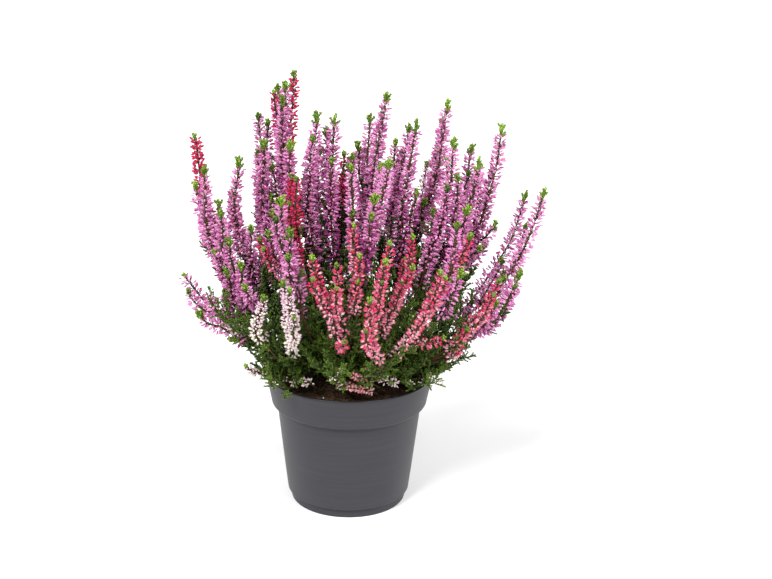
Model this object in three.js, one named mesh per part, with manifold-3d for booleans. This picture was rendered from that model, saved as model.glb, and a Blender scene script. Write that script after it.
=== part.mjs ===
// A bud-blooming heather in a round nursery pot, in millimetres, +Z up.
// The origin is the middle of the pot's flat underside, where it stands.
import * as THREE from 'three';
import { mergeVertices } from 'three/addons/utils/BufferGeometryUtils.js';
import Module from 'manifold-3d';

const wasm = await Module();
wasm.setup();

// ---- driving dimensions -------------------------------------------------

// A nursery pot of nominal size 13 cm, measured across the rim.
const POT_HEIGHT = 105;
const RIM_RADIUS = 65;
const COLLAR_HEIGHT = 26.5;
const COLLAR_LOW_RADIUS = 60.5;
const SHOULDER_HEIGHT = 3.5;
const BODY_TOP_RADIUS = 56.1;
const BODY_LOW_RADIUS = 47.9;
const FOOT_RADIUS = 45;
const FOOT_HEIGHT = 7.5;
const WALL = 1.4;
const FLOOR = 1.8;
const UNDERCUT = 0.5;
const LIP_ROUND = 0.5;
const POT_SIDES = 56;

const DRAIN_COUNT = 6;
const DRAIN_RADIUS = 3.5;
const DRAIN_CIRCLE_RADIUS = 34;

// The compost fills the pot to a little under its rim, slightly heaped at the plants.
const CLEARANCE = 0.3;
const COMPOST_EDGE_Z = 97.5;
const COMPOST_HEAP = 2.5;
const COMPOST_SIDES = 32;

// Each plant stands on a short woody stock, set into the compost.
const STOCK_DEPTH = 12;
const STOCK_RISE = 31;
const STOCK_FOOT_RADIUS = 4.6;
const STOCK_TOP_RADIUS = 2.4;
const STOCK_SIDES = 10;
const FIRST_FORK = 5;
const LAST_FORK = 27;

// Sections of a shoot from its foot to its tip: share of its length, then radius.
const SHOOT_SIDES = 6;
const SHOOT_FOOT_RADIUS = 0.9;
const FLOWERING_SECTION = [
  [0, SHOOT_FOOT_RADIUS], [0.12, 1.0], [0.26, 1.7], [0.38, 2.5], [0.48, 3.6], [0.58, 4.2],
  [0.72, 4.4], [0.85, 3.9], [0.93, 2.8], [0.97, 1.8], [1, 0.7],
];
const LEAFY_SECTION = [
  [0, SHOOT_FOOT_RADIUS], [0.2, 1.1], [0.35, 2.2], [0.5, 3.2], [0.7, 3.6], [0.85, 3.0], [0.95, 1.8], [1, 0.7],
];

// The arch of a shoot: how far its two pulls reach, as shares of its spread and rise.
const FOOT_PULL_OUT = 0.42;
const FOOT_PULL_UP = 0.14;
const TIP_PULL_OUT = 0.2;
const TIP_PULL_UP = 0.5;

// ---- where the plants and their shoots are -------------------------------

// Each stock has its place in the pot, and each shoot the place of its tip.
const PLANTS = {
  stock_mauve_left: {
    at: [-17, -2],
    shoots: {
      mauve_shoot_01: [-109, -10, 268],
      mauve_shoot_02: [-83, -5, 275],
      mauve_shoot_03: [-72, 42, 298],
      mauve_shoot_04: [-52, 10, 318],
      mauve_shoot_19: [-26, -8, 310],
      mauve_shoot_05: [-50, -52, 257],
      mauve_shoot_06: [-43, -72, 240],
      mauve_shoot_07: [-126, -10, 185],
      pale_shoot_01: [-61, -85, 194],
      pale_shoot_02: [-47, -94, 208],
      leafy_shoot_01: [-104, -50, 182],
      leafy_shoot_02: [-60, -60, 118],
    },
  },
  stock_mauve_right: {
    at: [18, 2],
    shoots: {
      mauve_shoot_09: [47, -10, 306],
      mauve_shoot_10: [71, 20, 315],
      mauve_shoot_11: [74, -20, 295],
      mauve_shoot_12: [94, -5, 277],
      mauve_shoot_13: [93, 48, 275],
      mauve_shoot_14: [113, 25, 296],
      mauve_shoot_15: [138, 55, 236],
      mauve_shoot_16: [145, 0, 253],
      mauve_shoot_17: [79, -70, 210],
      mauve_shoot_18: [127, -20, 195],
      leafy_shoot_03: [63, -55, 117],
      leafy_shoot_04: [86, -26, 138],
      leafy_shoot_05: [66, 52, 126],
    },
  },
  stock_mauve_back: {
    at: [3, 19],
    shoots: {
      mauve_shoot_08: [-30, 84, 250],
      mauve_shoot_20: [-13, -5, 306],
      mauve_shoot_21: [14, 60, 295],
      mauve_shoot_22: [25, 20, 319],
      mauve_shoot_23: [44, 60, 288],
      mauve_shoot_24: [17, -50, 259],
      mauve_shoot_25: [-12, 112, 214],
      mauve_shoot_26: [34, 112, 222],
      mauve_shoot_27: [78, 98, 218],
      mauve_shoot_28: [-58, 98, 222],
      pale_shoot_03: [60, 84, 252],
    },
  },
  stock_crimson_front: {
    at: [4, -17],
    shoots: {
      crimson_shoot_01: [-27, -90, 225],
      crimson_shoot_02: [-10, -85, 218],
      crimson_shoot_03: [6, -75, 222],
      crimson_shoot_04: [24, -90, 223],
      crimson_shoot_05: [44, -75, 214],
      crimson_shoot_06: [62, -95, 217],
      crimson_shoot_07: [107, -60, 200],
      crimson_shoot_08: [86, -50, 231],
      crimson_shoot_09: [44, -60, 232],
      crimson_shoot_10: [13, -118, 204],
      crimson_shoot_13: [-44, -20, 266],
      leafy_shoot_06: [-10, -70, 134],
    },
  },
  stock_crimson_back: {
    at: [-14, 19],
    shoots: {
      crimson_shoot_11: [-118, 15, 287],
      crimson_shoot_12: [-45, 45, 330],
      crimson_shoot_14: [-6, 20, 274],
      crimson_shoot_15: [-95, 62, 232],
      leafy_shoot_07: [-62, 52, 124],
    },
  },
};

// ---- materials ------------------------------------------------------------

const FINISHES = {
  pot: { color: '#57565b', roughness: 0.5, metalness: 0 },
  compost: { color: '#2e2019', roughness: 1, metalness: 0 },
  stock: { color: '#5a4030', roughness: 0.9, metalness: 0 },
  mauve: { color: '#b06aa6', roughness: 0.75, metalness: 0 },
  crimson: { color: '#b9304e', roughness: 0.75, metalness: 0 },
  pale: { color: '#d9c6cf', roughness: 0.75, metalness: 0 },
  leafy: { color: '#4a6a2c', roughness: 0.8, metalness: 0 },
};

function finish(kind) {
  return new THREE.MeshStandardMaterial(FINISHES[kind]);
}

// ---- solids ---------------------------------------------------------------

function merged(geometry) {
  geometry.deleteAttribute('normal');
  geometry.deleteAttribute('uv');
  return mergeVertices(geometry, 1e-4);
}

function toSolid(geometry) {
  const clean = merged(geometry);
  return new wasm.Manifold(new wasm.Mesh({
    numProp: 3,
    vertProperties: new Float32Array(clean.attributes.position.array),
    triVerts: new Uint32Array(clean.index.array),
  }));
}

function toGeometry(solid) {
  const mesh = solid.getMesh();
  const geometry = new THREE.BufferGeometry();
  geometry.setAttribute('position', new THREE.Float32BufferAttribute(mesh.vertProperties, 3));
  geometry.setIndex([...mesh.triVerts]);
  geometry.computeVertexNormals();
  return geometry;
}

// A solid turned about the Z axis from [radius, height] points, listed from the bottom up.
function turned(points, sides) {
  const outline = points.map(([radius, height]) => new THREE.Vector2(radius, height));
  return new THREE.LatheGeometry(outline, sides).rotateX(Math.PI / 2);
}

// The outer wall of the pot from its foot to its lip, as [radius, height] points.
function outerWall() {
  const collarFoot = POT_HEIGHT - COLLAR_HEIGHT;
  const shoulder = [];
  for (const share of [0.35, 0.7, 1]) {
    const bulge = Math.sin(share * Math.PI / 2);
    shoulder.push([
      THREE.MathUtils.lerp(BODY_TOP_RADIUS, COLLAR_LOW_RADIUS, bulge),
      collarFoot + SHOULDER_HEIGHT * share,
    ]);
  }
  return [
    [FOOT_RADIUS, 0],
    [FOOT_RADIUS, FOOT_HEIGHT],
    [BODY_LOW_RADIUS, FOOT_HEIGHT],
    [BODY_TOP_RADIUS - UNDERCUT, collarFoot - UNDERCUT],
    [BODY_TOP_RADIUS, collarFoot],
    ...shoulder,
    [RIM_RADIUS, POT_HEIGHT - LIP_ROUND],
    [RIM_RADIUS - LIP_ROUND, POT_HEIGHT],
  ];
}

// The hollow of the pot, from the middle of its floor up to the lip.
function innerWall() {
  const collarFoot = POT_HEIGHT - COLLAR_HEIGHT;
  return [
    [0, FLOOR],
    [FOOT_RADIUS - WALL, FLOOR],
    [FOOT_RADIUS - WALL, FOOT_HEIGHT + WALL],
    [BODY_LOW_RADIUS - WALL, FOOT_HEIGHT + WALL],
    [BODY_TOP_RADIUS - WALL, collarFoot + WALL / 2],
    [COLLAR_LOW_RADIUS - WALL, collarFoot + SHOULDER_HEIGHT + WALL / 2],
    [RIM_RADIUS - WALL, POT_HEIGHT - LIP_ROUND],
  ];
}

function potGeometry() {
  const profile = [[0, 0], ...outerWall(), ...innerWall().reverse()];
  let pot = toSolid(turned(profile, POT_SIDES));
  for (let hole = 0; hole < DRAIN_COUNT; hole += 1) {
    const turn = (hole + 0.5) * 2 * Math.PI / DRAIN_COUNT;
    const drill = new THREE.CylinderGeometry(DRAIN_RADIUS, DRAIN_RADIUS, 3 * FLOOR, 12);
    drill.rotateX(Math.PI / 2);
    drill.translate(DRAIN_CIRCLE_RADIUS * Math.cos(turn), DRAIN_CIRCLE_RADIUS * Math.sin(turn), FLOOR / 2);
    pot = pot.subtract(toSolid(drill));
  }
  return toGeometry(pot);
}

// A stock's radius at a height over the compost, which is negative below its surface.
function stockRadius(rise) {
  const share = THREE.MathUtils.clamp(rise / STOCK_RISE, 0, 1);
  return THREE.MathUtils.lerp(STOCK_FOOT_RADIUS, STOCK_TOP_RADIUS, share);
}

function compostHeight(x, y) {
  const out = Math.hypot(x, y) / RIM_RADIUS;
  return COMPOST_EDGE_Z + COMPOST_HEAP * (1 - out * out);
}

function compostGeometry() {
  const wall = innerWall().slice(1, 6).map(([radius, height]) => [radius - CLEARANCE, height + CLEARANCE]);
  const slope = (RIM_RADIUS - COLLAR_LOW_RADIUS) / (COLLAR_HEIGHT - SHOULDER_HEIGHT);
  const edge = COLLAR_LOW_RADIUS - WALL - CLEARANCE
    + slope * (COMPOST_EDGE_Z - (POT_HEIGHT - COLLAR_HEIGHT + SHOULDER_HEIGHT));
  const top = [[edge, COMPOST_EDGE_Z]];
  for (const out of [0.75, 0.5, 0.25, 0]) {
    top.push([edge * out, compostHeight(edge * out, 0)]);
  }
  let compost = toSolid(turned([[0, FLOOR + CLEARANCE], ...wall, ...top], COMPOST_SIDES));
  for (const plant of Object.values(PLANTS)) {
    const socketFoot = compostHeight(...plant.at) - STOCK_DEPTH - CLEARANCE;
    const radius = STOCK_FOOT_RADIUS + CLEARANCE;
    const socket = new THREE.CylinderGeometry(radius, radius, 2 * STOCK_DEPTH, STOCK_SIDES);
    socket.rotateX(Math.PI / 2);
    socket.translate(plant.at[0], plant.at[1], socketFoot + STOCK_DEPTH);
    compost = compost.subtract(toSolid(socket));
  }
  return toGeometry(compost);
}

function stockGeometry(plant) {
  const soil = compostHeight(...plant.at);
  const outline = [[0, soil - STOCK_DEPTH], [stockRadius(-STOCK_DEPTH), soil - STOCK_DEPTH]];
  for (const share of [0, 0.3, 0.6, 0.85, 1]) {
    outline.push([stockRadius(share * STOCK_RISE), soil + share * STOCK_RISE]);
  }
  outline.push([0, soil + STOCK_RISE + 1.5]);
  return merged(turned(outline, STOCK_SIDES).translate(plant.at[0], plant.at[1], 0));
}

// The path of a shoot's middle: out of the stock's bark, then arching up to the tip.
function shootPath(plant, tip, rise) {
  const soil = compostHeight(...plant.at);
  const across = new THREE.Vector3(tip[0] - plant.at[0], tip[1] - plant.at[1], 0);
  const out = across.clone().normalize();
  const foot = new THREE.Vector3(plant.at[0], plant.at[1], soil + rise);
  foot.addScaledVector(out, stockRadius(rise) + CLEARANCE);
  const end = new THREE.Vector3(...tip);
  const spread = Math.hypot(end.x - foot.x, end.y - foot.y);
  const climb = end.z - foot.z;
  const steepness = Math.atan2(FOOT_PULL_UP * climb, FOOT_PULL_OUT * spread);
  foot.addScaledVector(out, SHOOT_FOOT_RADIUS * Math.sin(steepness));
  const footPull = foot.clone().addScaledVector(out, FOOT_PULL_OUT * spread);
  footPull.z += FOOT_PULL_UP * climb;
  const tipPull = end.clone().addScaledVector(out, -TIP_PULL_OUT * spread);
  tipPull.z -= TIP_PULL_UP * climb;
  return { path: new THREE.CubicBezierCurve3(foot, footPull, tipPull, end), out };
}

// A round solid of changing radius, turned first and then bent along its path.
function shootGeometry(plant, tip, rise, section) {
  const { path, out } = shootPath(plant, tip, rise);
  const outline = section.map(([share, radius]) => new THREE.Vector2(radius, share));
  const closed = [new THREE.Vector2(0, 0), ...outline, new THREE.Vector2(0, 1)];
  const geometry = new THREE.LatheGeometry(closed, SHOOT_SIDES);
  const side = new THREE.Vector3(-out.y, out.x, 0);
  const position = geometry.attributes.position;
  const point = new THREE.Vector3();
  for (let i = 0; i < position.count; i += 1) {
    const share = position.getY(i);
    const tangent = path.getTangentAt(share);
    const normal = new THREE.Vector3().crossVectors(side, tangent);
    path.getPointAt(share, point);
    point.addScaledVector(side, position.getX(i));
    point.addScaledVector(normal, position.getZ(i));
    position.setXYZ(i, point.x, point.y, point.z);
  }
  return merged(geometry);
}

// A plant's shoots fork from its stock in turn, the steepest from the highest fork.
function forkHeights(plant) {
  const steepness = ([x, y, z]) => (z - compostHeight(x, y)) / Math.hypot(x - plant.at[0], y - plant.at[1]);
  const names = Object.keys(plant.shoots);
  names.sort((a, b) => steepness(plant.shoots[a]) - steepness(plant.shoots[b]));
  const heights = {};
  names.forEach((name, rank) => {
    heights[name] = THREE.MathUtils.lerp(FIRST_FORK, LAST_FORK, rank / (names.length - 1));
  });
  return heights;
}

// ---- the object -------------------------------------------------------------

const heather = new THREE.Group();

function addPiece(name, geometry, kind) {
  geometry.computeVertexNormals();
  const mesh = new THREE.Mesh(geometry, finish(kind));
  mesh.name = name;
  heather.add(mesh);
}

addPiece('pot', potGeometry(), 'pot');
addPiece('compost', compostGeometry(), 'compost');

for (const [stockName, plant] of Object.entries(PLANTS)) {
  addPiece(stockName, stockGeometry(plant), 'stock');
  const rises = forkHeights(plant);
  for (const [name, tip] of Object.entries(plant.shoots)) {
    const kind = name.split('_')[0];
    const section = kind === 'leafy' ? LEAFY_SECTION : FLOWERING_SECTION;
    addPiece(name, shootGeometry(plant, tip, rises[name], section), kind);
  }
}

export default heather;
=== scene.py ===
import math

import bpy
import numpy as np
from mathutils import Matrix, Vector


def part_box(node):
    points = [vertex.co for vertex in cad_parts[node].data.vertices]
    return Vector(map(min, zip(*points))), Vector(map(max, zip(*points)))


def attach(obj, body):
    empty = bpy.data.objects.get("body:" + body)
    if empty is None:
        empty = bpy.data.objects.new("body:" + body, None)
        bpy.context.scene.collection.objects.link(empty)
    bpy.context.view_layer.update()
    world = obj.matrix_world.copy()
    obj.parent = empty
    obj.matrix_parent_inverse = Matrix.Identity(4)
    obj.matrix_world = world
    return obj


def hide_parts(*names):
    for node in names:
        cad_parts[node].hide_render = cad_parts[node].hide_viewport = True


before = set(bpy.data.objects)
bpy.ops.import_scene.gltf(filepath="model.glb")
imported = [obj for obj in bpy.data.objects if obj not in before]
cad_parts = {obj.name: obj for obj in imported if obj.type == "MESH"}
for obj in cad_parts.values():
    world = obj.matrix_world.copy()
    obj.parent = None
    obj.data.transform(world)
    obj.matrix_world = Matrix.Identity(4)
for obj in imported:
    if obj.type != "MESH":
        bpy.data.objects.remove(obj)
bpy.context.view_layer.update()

# A potted heather. Lengths are in metres unless a name or a comment says millimetres.
MM = 0.001
UP = np.array([0.0, 0.0, 1.0])
GOLDEN_TURN = math.radians(137.5)
WHORL_STEP = 4.2 * MM
RIGHT_ANGLE = math.pi / 2

# ---- the camera, at the photograph's angle ----

CAMERA_DISTANCE = 1.0
CAMERA_HEIGHT = 0.503
CAMERA_DOWN_DEG = 18.37
CAMERA_RIGHT_DEG = 1.55
CAMERA_ROLL_DEG = 1.15
CAMERA_LENS_MM = 64.4

# ---- how each kind of spike grows ----

# bloom is the longest stretch of buds in mm and share the most of the stem that it covers. crowding
# is buds to a millimetre. bud and girth are a bud's length and half width in mm, spread the least
# and most that it starts out from the stem, and tilt its angle to the stem in degrees at the tip and
# at the foot. TIPS has the least and most length of a leafy tip in mm.
MAUVE = dict(bloom=118, share=0.6, crowding=2.7, bud=5.0, girth=0.9, spread=(0.8, 2.9), tilt=(60, 84))
CRIMSON = dict(bloom=70, share=0.5, crowding=2.0, bud=3.8, girth=0.94, spread=(0.7, 2.3), tilt=(60, 80))
PALE = dict(bloom=70, share=0.5, crowding=3.0, bud=3.4, girth=0.8, spread=(0.6, 2.4), tilt=(54, 80))
BLUSH = dict(bloom=20, share=0.5, crowding=2.8, bud=3.2, girth=0.9, spread=(0.4, 1.2), tilt=(46, 70))
KINDS = {"mauve": MAUVE, "crimson": CRIMSON, "pale": PALE, "blush": BLUSH}
TIPS = {"mauve": (9, 13), "crimson": (4, 6), "pale": (5, 7), "blush": (3, 4)}

# A leafy tip this long is fully bushy, and its usual length grows by this power of a shoot's vigour.
FULL_TIP = 9 * MM
TIP_POWER = 4

# How stout the side spikes, the spikes close to the first and the low ones are.
SIDE_VIGOUR = 0.92
SECOND_VIGOUR = 0.85
LOW_VIGOUR = 0.75

# Scale leaves: the space between their pairs, their length and width in mm, and their lean in degrees.
STEM_LEAVES = (1.4, 2.6, 0.65, 26)
LEAVES_AMONG_BUDS = (1.5, 2.5, 0.92, 31)
TIP_LEAVES = (0.85, 2.4, 1.4, 26)
LEAFY_STEM_LEAVES = (1.2, 2.3, 0.6, 25)
TWIG_LEAVES = (1.3, 2.4, 0.72, 27)
TUFT_LEAVES = (1, 2.2, 0.62, 27)
LEAN_SCATTER = 6

# The same for branchlets, where the width goes by the place.
BRANCHLET_LEAVES = (1.15, 2.3, 26)

# The tables below go by a shoot's kind and number.

# Shoots whose bloom is not as long or as crowded as their kind's: its length, then its crowding.
BLOOMS = {
    "crimson": {
        1: (80, 1.8), 6: (88, 1.9), 7: (68, 1.6), 10: (64, 2.1), 11: (84, 3.2), 12: (125, 3.0),
        13: (85, 3.3), 14: (40, 2.2),
    },
    "mauve": {
        2: (94, 2.7), 6: (50, 2.7), 7: (66, 2.0), 17: (36, 2.7), 18: (52, 2.7), 23: (84, 2.7),
        24: (66, 2.7), 26: (52, 2.7),
    },
    "pale": {1: (40, 3.2), 2: (84, 3.2)},
}

# Side spikes: the share of the shoot where it forks, its tip and its bloom in mm, and its kind where that
# isn't the shoot's own.
SIDE_SPIKES = {
    "crimson": {
        1: [(0.35, (-4, -85, 160), 26)],
        3: [(0.45, (2, -55, 238), 34)],
        4: [(0.45, (27, -70, 230), 36)],
        5: [(0.4, (68, -70, 159), 30)],
        6: [(0.55, (66, -88, 210), 36)],
        7: [(0.3, (85, -64, 164), 26), (0.25, (82, -58, 150), 15)],
        12: [(0.42, (-59, 30, 317), 56)],
        13: [(0.5, (-40, -32, 266), 45), (0.4, (-66, -45, 224), 40), (0.35, (-63, -50, 218), 32)],
        14: [(0.5, (0, 15, 273), 66, "mauve"), (0.45, (-16, 30, 252), 60, "mauve")],
    },
    "leafy": {
        1: [
            (0.55, (-113, -35, 164), 27, "mauve"), (0.6, (-92, -38, 159), 13, "pale"),
            (0.56, (-89, -40, 145), 5, "mauve"),
        ],
        2: [(0.45, (-77, -50, 128), 16, "pale")],
    },
    "mauve": {
        1: [
            (0.45, (-95, -35, 241), 62), (0.55, (-117, 5, 252), 50), (0.45, (-99, -5, 241), 38),
            (0.35, (-101, -22, 208), 58), (0.3, (-90, -30, 219), 60),
        ],
        2: [
            (0.28, (-60, 0, 245), 60), (0.3, (-58, -5, 234), 62), (0.4, (-74, -20, 226), 62),
            (0.22, (-76, -60, 193), 26),
        ],
        3: [(0.4, (-64, -15, 289), 80), (0.48, (-64, 35, 294), 75)],
        4: [
            (0.55, (-57, 45, 319), 80), (0.45, (-44, -28, 291), 80), (0.4, (-60, 5, 268), 72),
            (0.55, (-50, 20, 326), 80),
        ],
        5: [(0.4, (-60, -40, 228), 60)],
        7: [(0.35, (-80, -45, 205), 42), (0.45, (-94, -26, 178), 24), (0.4, (-92, -30, 196), 38)],
        8: [(0.45, (-38, 55, 243), 60)],
        9: [(0.42, (48, -8, 252), 70)],
        10: [(0.5, (69, 45, 295), 75), (0.45, (54, 0, 242), 56)],
        11: [(0.5, (72, 10, 272), 58), (0.42, (61, -8, 237), 55)],
        12: [(0.45, (77, -25, 268), 65), (0.5, (84, -35, 247), 55), (0.4, (81, -40, 206), 55)],
        13: [(0.4, (110, 10, 223), 44), (0.45, (98, 0, 206), 60), (0.2, (105, 25, 204), 44)],
        14: [(0.45, (97, 20, 267), 62)],
        16: [(0.35, (116, 10, 194), 34)],
        17: [(0.5, (76, -50, 239), 60)],
        18: [(0.4, (108, -38, 176), 46), (0.45, (116, -10, 186), 50)],
        19: [(0.45, (-24, 20, 277), 66)],
        20: [(0.55, (-19, 0, 296), 60)],
        21: [(0.5, (4, 40, 277), 62)],
        23: [(0.5, (34, 70, 273), 70)],
        24: [
            (0.45, (-1, -40, 278), 82), (0.5, (27, -32, 280), 56), (0.45, (26, -20, 276), 52),
            (0.5, (22, 0, 269), 48), (0.38, (1, -40, 244), 56),
        ],
    },
    "pale": {2: [(0.5, (-39, -90, 180), 44), (0.48, (-42, -93, 202), 34)]},
}

# Low spikes that lie forward over the compost: foot and tip in mm, kind, bloom in mm.
LOW_SPIKES = {
    "leafy": {
        6: [
            ((14, -46, 104), (-13, -58, 118), "blush", 25), ((22, -46, 103), (-4, -60, 114), "blush", 23),
            ((24, -44, 106), (-1, -58, 124), "blush", 22), ((32, -42, 112), (9, -57, 127), "blush", 17),
            ((34, -40, 108), (20, -54, 119), "pale", 9), ((36, -38, 106), (30, -54, 116), "pale", 9),
            ((-4, -44, 108), (-9, -56, 127), "pale", 8), ((-24, -40, 104), (-36, -54, 117), "pale", 9),
        ],
    },
}

# Shoots that are stouter than others, and by how much.
VIGOUR = {"crimson": {11: 1.3, 12: 1.25}}

# Shoots with buds almost to the end, and the length of their leafy tip in mm.
SHORT_TIPS = {"crimson": {11: 6, 12: 7}, "mauve": {3: 6, 7: 4}}

# Leafy shoots with buds near their ends: the kind, and how much of the shoot has them.
BUDDED = {"leafy": {1: ("mauve", 0.14)}}

# Shoots that grow no second spike close to the first, and low shoots with tufts of white buds.
LONE = {"crimson": (11, 12), "mauve": (15,), "pale": (3,)}
TUFTED = {"leafy": (2, 3, 4, 6)}

# How far a shoot bows outward for its reach, the shoots that lie too low to bow, and how far to the
# right each sways below its middle and above it, in mm.
BOW = 0.045
UNBOWED = {"leafy": (1,), "mauve": (7,)}
SWAYS = {
    "crimson": {
        1: (7, 5), 2: (2, -1.5), 3: (-4, -2), 4: (-6, -2), 5: (-6, -8), 6: (-5, 0), 7: (4, -4.5),
        8: (-8, -7), 10: (13, 3), 11: (-3, -4), 12: (-7, -6), 13: (-6, -3),
    },
    "leafy": {1: (3, 3)},
    "mauve": {
        1: (-10, -7), 2: (-10.5, -10), 3: (-12, -1), 4: (-3, -3), 7: (10, 1), 9: (-1, -5), 10: (-8, 0),
        11: (0, 2.5), 14: (7, 3), 15: (5, 2), 16: (4, 4), 17: (-5, -3), 18: (6, 6), 19: (-5, -5),
        20: (-4, -4), 21: (0, -2.5), 22: (-6, -6), 23: (-3, -2), 24: (-6, -3),
    },
    "pale": {1: (-11, -12), 2: (-9, 4.5)},
}

# The tips in mm of leafy twigs low at the sides and of ones between the spikes, darkened with painted shade.
SIDE_TWIGS = {
    "crimson": {14: [(-4, 10, 195), (-20, -22, 191)]},
    "leafy": {
        1: [
            (-65, -40, 147), (-74, -35, 153), (-77, -35, 143), (-85, -35, 149), (-84, -38, 146),
            (-79, -40, 140), (-78, -30, 168), (-70, -40, 160),
        ],
        2: [
            (-74, -43, 136), (-69, -46, 134), (-72, -50, 129), (-66, -50, 125), (-53, -55, 183),
            (-60, -58, 180), (-46, -58, 168), (-45, -62, 162), (-50, -60, 174), (-56, -58, 176),
            (-58, -62, 172), (-52, -66, 168), (-55, -70, 156), (-48, -70, 160), (-60, -62, 152),
            (-66, -50, 164), (-57, -50, 143), (-49, -55, 137), (-65, -40, 134), (-44, -55, 126),
            (-69, -35, 126), (-72, -45, 122), (-46, -48, 153), (-47, -42, 171),
        ],
        3: [(66, -60, 148), (55, -60, 137), (44, -60, 129), (44, -42, 173)],
        4: [
            (78, -45, 139), (72, -45, 129), (89, -40, 149), (96, -40, 159), (73, -38, 127), (68, -42, 121),
            (86, -32, 128), (80, -36, 125), (75, -38, 122), (76, -35, 158), (80, -45, 152), (88, -30, 158),
            (82, -25, 170), (77, -22, 155),
        ],
        6: [(-36, -70, 151), (-29, -70, 140), (-18, -70, 147), (25, -75, 141), (36, -70, 144)],
    },
    "mauve": {
        2: [(-74, -22, 170), (-64, -35, 196)],
        4: [(-58, 10, 232)],
        5: [(-62, -30, 202), (-58, -12, 182)],
        9: [(37, 10, 221), (44, -12, 168), (59, -4, 214)],
        10: [(55, 15, 216)],
        11: [(50, 0, 200), (56, -8, 201)],
        12: [(80, 0, 196), (92, -20, 194), (88, -20, 187)],
        19: [(-25, 10, 189), (-35, -5, 219)],
        20: [(-3, 25, 222), (-2, 0, 200)],
        21: [(-1, 35, 206)],
        22: [(31, -10, 190)],
        23: [(40, 20, 197), (30, -5, 182), (22, 10, 212)],
        24: [(-6, -20, 184), (31, 0, 187), (-3, -22, 195), (31, -32, 192)],
    },
}

# Leafy sprays nearer the pot's axis than this take painted shade: darker colours, with fewer, larger leaves.
# So do the twigs whose tips are higher than TWIG_SHADE_Z.
SHADE_RADIUS = 36 * MM
TWIG_SHADE_Z = 165 * MM

# Among the buds the painted shade, darker colours deep among the shoots, is that wide at the rim, widens
# with the height, and fades out at its top.
SHADE_WIDENING = 0.36
SHADE_TOP_Z = 262 * MM
SHADE_FADE = 60 * MM

# Crimson spikes that end higher than this have darker buds.
DARK_CRIMSON_Z = 243 * MM

# ---- colours ----

# Colours from a bud's, leaf's or twig's foot to its tip, first when old and then when young, and how far
# along a bud each one lies. The mauve buds' young colours and the leaves' old ones also serve as painted
# shade deep among the shoots.
BUD_COLOURS = {
    "mauve": (("#f3d6e5", "#e39cca", "#d67eb5"), ("#ba5c9a", "#9c2c77", "#7b1d5e")),
    "crimson": (("#f6efe2", "#f2b3c8", "#dc4580"), ("#cd4a78", "#c3164c", "#a30f3a")),
    "pale": (("#c9d293", "#f1efda", "#ecdcdc"), ("#d4cfb0", "#e6c4da", "#bd78ab")),
    "blush": (("#e2e0b4", "#f3d3cd", "#ec8f9e"), ("#ead9b8", "#f0a0aa", "#d9476a")),
}
BUD_PLACES = {
    "mauve": (0.05, 0.4, 0.9),
    "crimson": (0.3, 0.6, 0.92),
    "pale": (0.1, 0.45, 0.9),
    "blush": (0.1, 0.45, 0.85),
}
LEAF_COLOURS = (("#121b0d", "#1c2c12", "#28391a"), ("#6d912c", "#87aa37", "#a0c547"))
TWIG_COLOURS = (("#3a2218", "#5b3021", "#74412e"), ("#33301c", "#443f22", "#57502b"))


def tint(code):
    """A linear colour from a six-figure sRGB code."""
    channels = [int(code[i:i + 2], 16) / 255 for i in (1, 3, 5)]
    linear = [c / 12.92 if c <= 0.04045 else ((c + 0.055) / 1.055) ** 2.4 for c in channels]
    return (*linear, 1.0)


# ---- meshes from many small closed shapes ----

UV_NAME = "OFBake"

# How much of U a copy of a shape takes up, and how much of V each closed end of it takes up at least.
AGE_WIDTH = 0.03
CAP = 0.02


def linked(name, data):
    """A new object that shows the data."""
    item = bpy.data.objects.new(name, data)
    bpy.context.scene.collection.objects.link(item)
    return item


def unit(vectors):
    return vectors / np.maximum(np.linalg.norm(vectors, axis=-1, keepdims=True), 1e-9)


class Shape:
    """A small closed shape along Z from 0 to 1, with its UV places: round it, then along it."""

    def __init__(self, points, faces, places):
        self.points = np.array(points, float)
        self.faces = np.array(faces, int)
        self.places = np.array(places, float)


def skin(levels, sides):
    """The faces of a closed skin over rings of points, then a foot and a tip, with their UV places."""
    i = np.arange(sides)
    j = (i + 1) % sides
    left, right = i / sides, (i + 1) / sides
    middle = (left + right) / 2
    foot, tip, top = len(levels) * sides, len(levels) * sides + 1, (len(levels) - 1) * sides
    first, last = max(levels[0], CAP), min(levels[-1], 1 - CAP)
    bands = [((foot, middle, 0), (j, right, first), (i, left, first))]
    for k in range(len(levels) - 1):
        a, b = k * sides + i, k * sides + j
        low, high = levels[k], levels[k + 1]
        bands.append(((a, left, low), (b, right, low), (b + sides, right, high)))
        bands.append(((a, left, low), (b + sides, right, high), (a + sides, left, high)))
    bands.append(((top + i, left, last), (top + j, right, last), (tip, middle, 1)))
    corners = [[np.stack(np.broadcast_arrays(*corner), -1) for corner in band] for band in bands]
    table = np.concatenate([np.stack(band, 1) for band in corners])
    return table[..., 0].astype(int), table[..., 1:]


def spindle(rings, sides):
    """A closed shape with a point at each end and rings of [height, radius] between."""
    levels, radii = np.array(rings).T
    turns = 2 * math.pi * (np.arange(sides) + 0.5) / sides
    across, deep = np.outer(radii, np.cos(turns)), np.outer(radii, np.sin(turns))
    points = np.stack([across, deep, np.repeat(levels, sides).reshape(across.shape)], -1)
    return Shape(np.concatenate([points.reshape(-1, 3), [(0, 0, 0), (0, 0, 1)]]), *skin(levels, sides))


def keeled_scale():
    """A pointed scale with a keel along its outer side."""
    right, left, keel, tip = (1, -0.35, 0), (-1, -0.35, 0), (0, 0.65, 0.1), (0, 0, 1)
    faces = [(0, 1, 2), (0, 3, 1), (1, 3, 2), (2, 3, 0)]
    spots = [(0, 0), (1, 0), (0.5, 0.1), (0.5, 1)]
    return Shape([right, left, keel, tip], faces, [[spots[k] for k in face] for face in faces])


BUD = spindle([(0.26, 0.85), (0.64, 1.0)], 4)
SCALE = keeled_scale()
CRUMB = spindle([(0.25, 0.9), (0.7, 1.0)], 4)


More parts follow.
